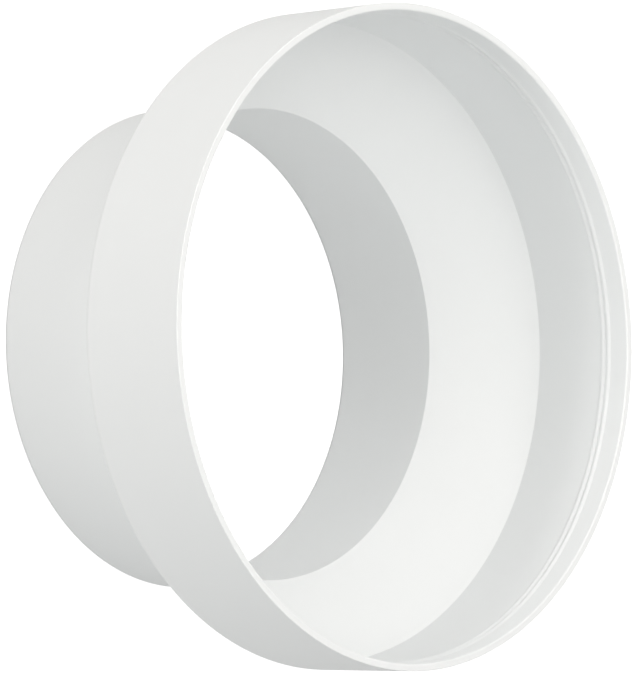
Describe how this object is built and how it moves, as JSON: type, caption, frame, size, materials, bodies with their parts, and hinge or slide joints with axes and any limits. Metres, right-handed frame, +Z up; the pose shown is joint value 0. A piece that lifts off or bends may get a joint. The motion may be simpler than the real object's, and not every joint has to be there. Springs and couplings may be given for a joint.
{
  "type": "duct reducer",
  "caption": "Round moulded plastic duct reducer: a wide collar narrows through a straight cone to a smaller spigot, joining a large ventilation duct to a small one.",
  "frame": {"origin": "centre of the spigot's end face, which the part stands on", "axes": "+Z up the common axis of spigot, cone and collar, towards the wide mouth; X and Y across it"},
  "size_m": [0.2, 0.2, 0.1],
  "materials": {
    "white_plastic": "satin, as moulded"
  },
  "bodies": {
    "root": {"reducer_body": "white_plastic"}
  },
  "joints": []
}
